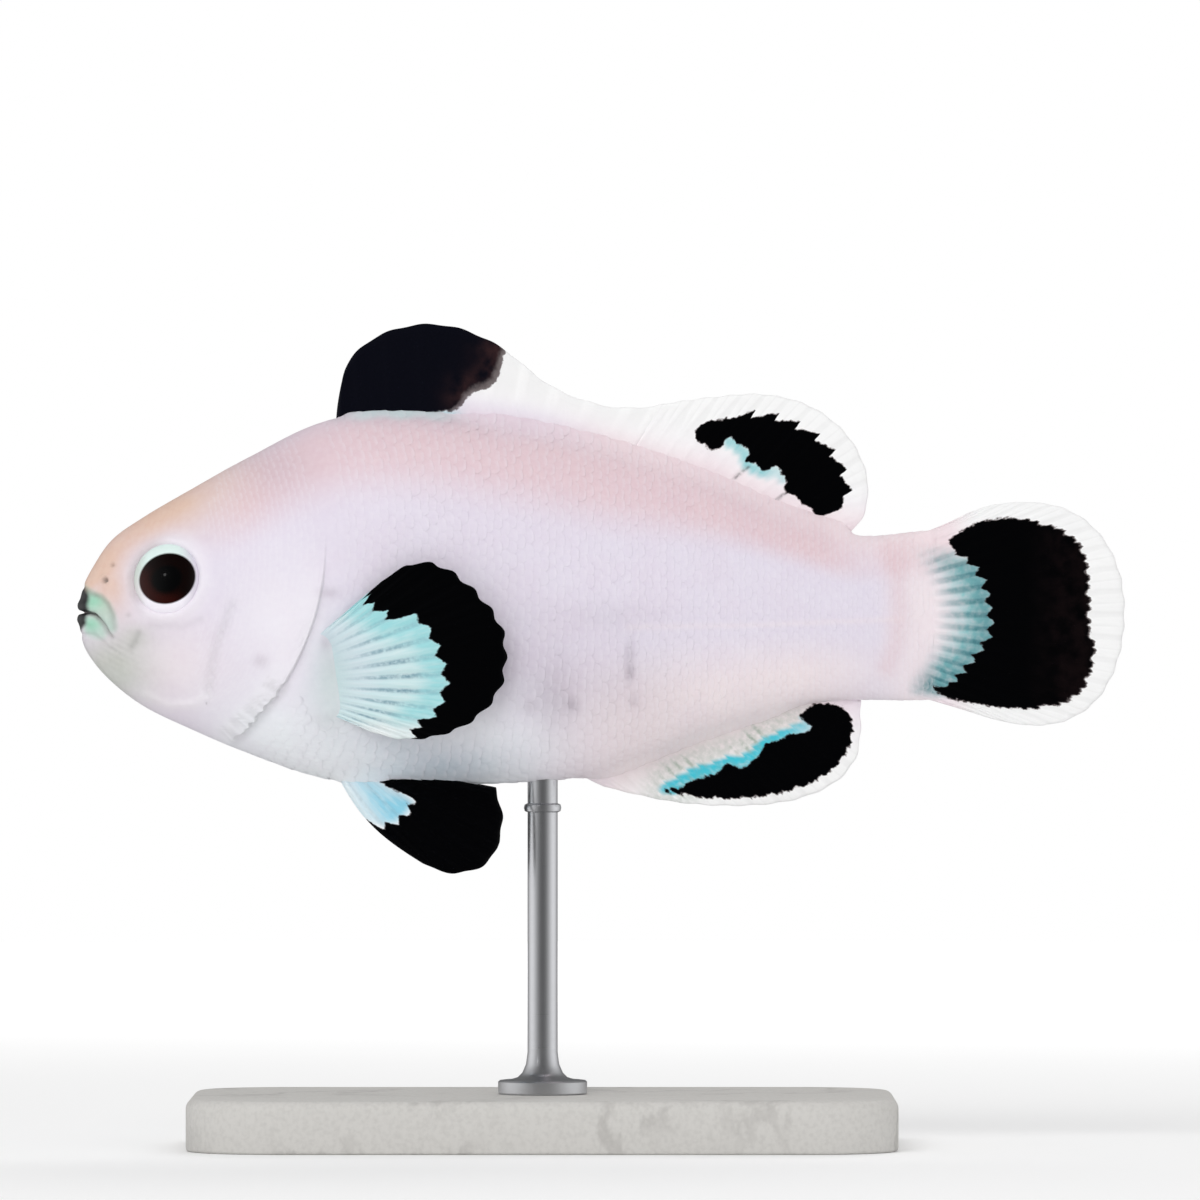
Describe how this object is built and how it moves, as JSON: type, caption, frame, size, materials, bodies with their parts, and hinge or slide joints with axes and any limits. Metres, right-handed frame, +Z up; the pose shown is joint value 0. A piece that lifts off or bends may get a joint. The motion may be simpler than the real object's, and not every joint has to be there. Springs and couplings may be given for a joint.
{
  "type": "clownfish display model",
  "caption": "Life-size still model of a white and black clownfish with spread fins, held level by a slim post on a flat base.",
  "frame": {"origin": "on the floor, under the middle of the model's length and width", "axes": "+X from the snout to the tail, +Y to the fish's right side, +Z up"},
  "size_m": [0.08, 0.031, 0.0629],
  "materials": {
    "skin": "white skin with a pink and lavender cast and fine scales, slightly wet",
    "lip": "black and mint lips",
    "fin": "black ray fins with white margins and cyan edges",
    "pectoral": "mint ray fins with a black outer band",
    "eye": "glossy black eye with a thin pale ring",
    "base": "honed pale stone",
    "post": "turned stainless steel"
  },
  "bodies": {
    "root": {"head": "skin", "gill_cover_left": "skin", "gill_cover_right": "skin", "lower_jaw": "skin", "upper_lip": "lip", "trunk": "skin", "tail_stem": "skin", "eye_left": "eye", "eye_right": "eye", "dorsal_fin_spiny": "fin", "dorsal_fin_soft": "fin", "anal_fin": "fin", "tail_fin": "fin", "pectoral_fin_left": "pectoral", "pectoral_fin_right": "pectoral", "pelvic_fin_left": "fin", "pelvic_fin_right": "fin", "stand_base": "base", "stand_post": "post"}
  },
  "joints": []
}
